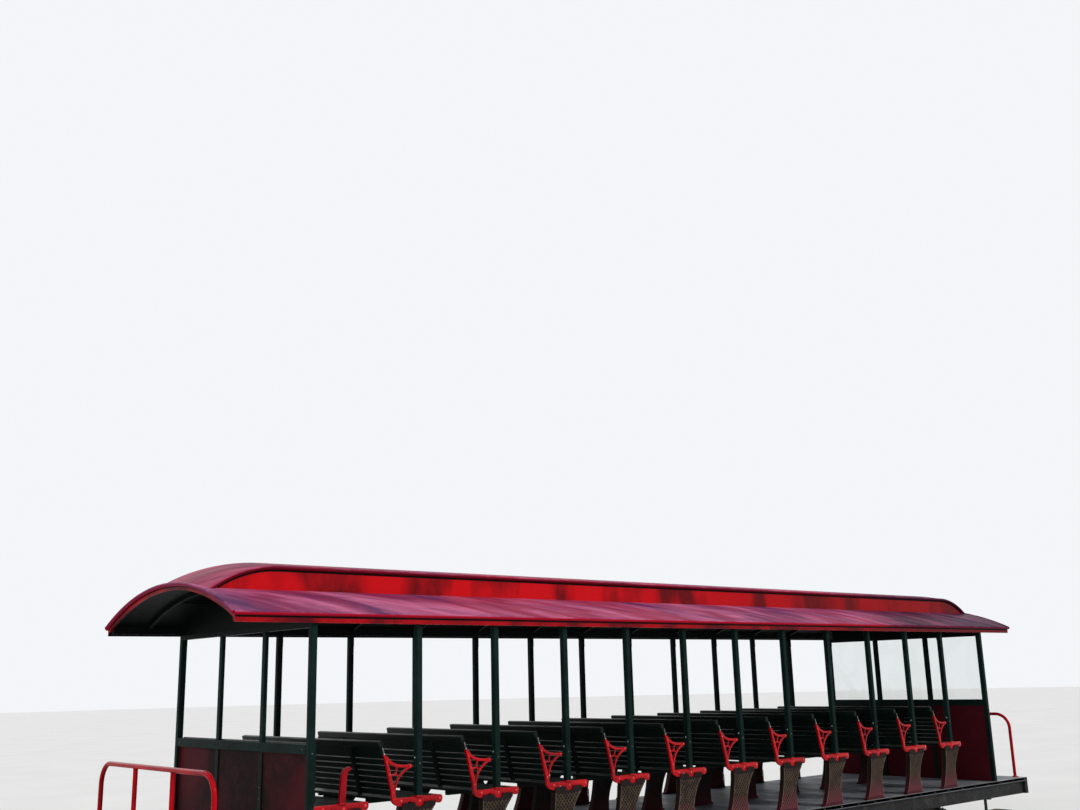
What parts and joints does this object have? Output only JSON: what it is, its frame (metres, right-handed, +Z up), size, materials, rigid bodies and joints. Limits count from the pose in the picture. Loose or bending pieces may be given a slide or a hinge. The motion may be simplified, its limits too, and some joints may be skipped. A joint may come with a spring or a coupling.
{
  "type": "open-sided park railway passenger coach",
  "caption": "Open-sided passenger coach for a narrow-gauge park railway: slatted benches with cast ends, red clerestory roof, platforms with guard rails, swivelling arch-bar trucks.",
  "frame": {"origin": "below the middle of the coach, at the lowest point of the wheel flanges", "axes": "+X forward, the way the benches face; +Y to the coach's left; +Z up"},
  "size_m": [11.28, 2.622, 2.996],
  "materials": {
    "black_steel": "satin black paint with road dust",
    "floor_grey": "worn grey deck paint",
    "step_wood": "weathered plank",
    "coupler_iron": "oily cast iron",
    "red_tube": "gloss red enamel",
    "green_paint": "satin dark green enamel",
    "dark_green_paint": "satin dark green paint",
    "maroon_panel": "satin maroon-brown paint",
    "window_glass": "clear grey-tinted pane",
    "roof_red": "gloss red roof enamel, faded by the sky",
    "fascia_red": "gloss bright red enamel",
    "red_casting": "gloss red enamel on rough castings",
    "leg_iron": "worn dark-brown castings with red underneath",
    "slat_green": "satin dark green slats",
    "truck_iron": "dark painted bars with brake dust",
    "wheel_steel": "cast wheel with bright worn tread"
  },
  "bodies": {
    "coach": {"centre_sill": "black_steel", "side_sills": "black_steel", "end_beams": "black_steel", "body_bolsters": "black_steel", "cross_bearers": "black_steel", "floor_deck": "floor_grey", "footboards": "step_wood", "footboard_brackets": "black_steel", "couplers": "coupler_iron", "air_reservoir": "black_steel", "guard_rails": "red_tube", "side_posts": "green_paint", "cantrails": "dark_green_paint", "end_posts": "green_paint", "end_mid_rails": "green_paint", "end_headers": "dark_green_paint", "end_panels": "maroon_panel", "front_window_glass": "window_glass", "roof_lower_deck": "roof_red", "roof_upper_deck": "roof_red", "duckbill_hoods": "roof_red", "clerestory_walls": "fascia_red", "eave_fascias": "fascia_red", "arch_fascias": "fascia_red", "roof_bows": "dark_green_paint", "bench_rails": "red_casting", "bench_brackets": "red_casting", "bench_legs": "leg_iron", "bench_centre_legs": "leg_iron", "bench_seats": "slat_green", "bench_backs": "slat_green", "bench_cap_rails": "dark_green_paint", "grab_bars": "red_tube"},
    "front_truck": {"front_truck_frame": "truck_iron", "front_truck_bolster": "truck_iron", "front_truck_springs": "truck_iron", "front_brake_beams": "truck_iron"},
    "rear_truck": {"rear_truck_frame": "truck_iron", "rear_truck_bolster": "truck_iron", "rear_truck_springs": "truck_iron", "rear_brake_beams": "truck_iron"},
    "wheelset_1": {"wheelset_1": "wheel_steel"},
    "wheelset_2": {"wheelset_2": "wheel_steel"},
    "wheelset_3": {"wheelset_3": "wheel_steel"},
    "wheelset_4": {"wheelset_4": "wheel_steel"}
  },
  "joints": [
    {"name": "front_truck_swivel", "type": "hinge", "parent": "coach", "child": "front_truck", "pos_m": [3.75, 0, 0.47], "axis": [0, 0, 1], "range_deg": [-12, 12]},
    {"name": "rear_truck_swivel", "type": "hinge", "parent": "coach", "child": "rear_truck", "pos_m": [-3.75, 0, 0.47], "axis": [0, 0, 1], "range_deg": [-12, 12]},
    {"name": "wheelset_1_spin", "type": "hinge", "parent": "front_truck", "child": "wheelset_1", "pos_m": [4.2835, 0, 0.235], "axis": [0, 1, 0], "continuous": true},
    {"name": "wheelset_2_spin", "type": "hinge", "parent": "front_truck", "child": "wheelset_2", "pos_m": [3.2165, 0, 0.235], "axis": [0, 1, 0], "continuous": true},
    {"name": "wheelset_3_spin", "type": "hinge", "parent": "rear_truck", "child": "wheelset_3", "pos_m": [-3.2165, 0, 0.235], "axis": [0, 1, 0], "continuous": true},
    {"name": "wheelset_4_spin", "type": "hinge", "parent": "rear_truck", "child": "wheelset_4", "pos_m": [-4.2835, 0, 0.235], "axis": [0, 1, 0], "continuous": true}
  ]
}
